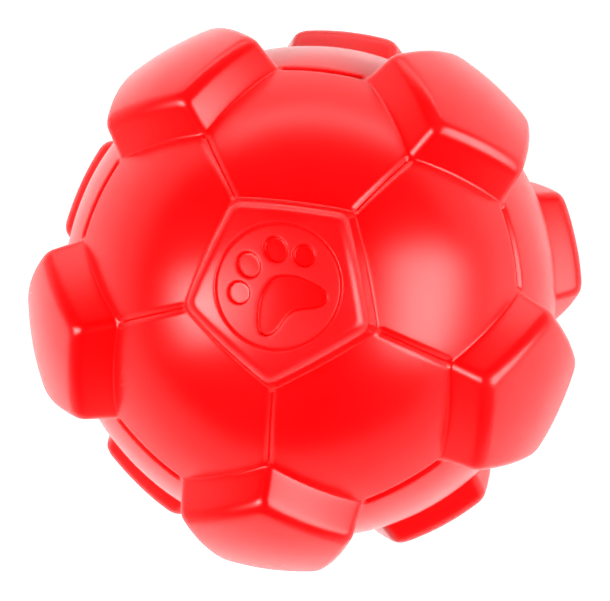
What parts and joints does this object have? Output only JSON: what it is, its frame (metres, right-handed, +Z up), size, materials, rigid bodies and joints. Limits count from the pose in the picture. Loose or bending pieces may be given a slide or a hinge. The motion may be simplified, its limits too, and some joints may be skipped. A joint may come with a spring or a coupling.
{
  "type": "rubber dog football",
  "caption": "Hollow red rubber ball for dogs with pentagonal studs in a football layout, bonded from two half shells round a squeaker.",
  "frame": {"origin": "middle of the flat land under the stud opposite the paw print, which the ball stands on", "axes": "+Z up through the stud with the paw print, +Y the way the toes of the paw point"},
  "size_m": [0.0752, 0.0764, 0.0787],
  "materials": {
    "red_rubber": "smooth satin gloss",
    "squeaker_plastic": "moulded satin",
    "reed_film": "smooth film"
  },
  "bodies": {
    "ball": {"upper_shell": "red_rubber", "lower_shell": "red_rubber", "squeaker_cup": "squeaker_plastic", "squeaker_cap": "squeaker_plastic", "reed_seat": "squeaker_plastic", "reed_clamp": "squeaker_plastic"},
    "reed": {"squeaker_reed": "reed_film"}
  },
  "joints": [
    {"name": "reed_flex", "type": "hinge", "parent": "ball", "child": "reed", "pos_m": [0, 0.00035, 0.0101], "axis": [1, 0, 0], "range_deg": [-4, 3], "stiffness_Nm_per_rad": 0.0003}
  ]
}
